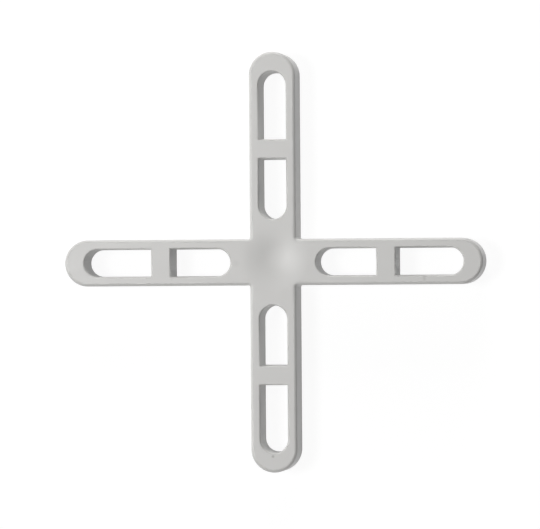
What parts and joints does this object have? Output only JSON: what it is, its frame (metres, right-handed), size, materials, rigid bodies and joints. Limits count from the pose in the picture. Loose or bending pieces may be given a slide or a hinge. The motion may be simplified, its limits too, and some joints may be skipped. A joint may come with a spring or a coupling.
{
  "type": "tile spacer",
  "caption": "Cross-shaped spacer for wall and floor tiles: equal arms with rounded tips, cored out by bridged slots, keep an even joint where tile corners meet.",
  "frame": {"origin": "middle of the flat back face, where the four arms cross", "axes": "+Z out of the front face with the rounded edges; the arms lie along X and Y"},
  "size_m": [0.0454, 0.0454, 0.005],
  "materials": {
    "moulded_plastic": "satin"
  },
  "bodies": {
    "root": {"spacer_cross": "moulded_plastic"}
  },
  "joints": []
}
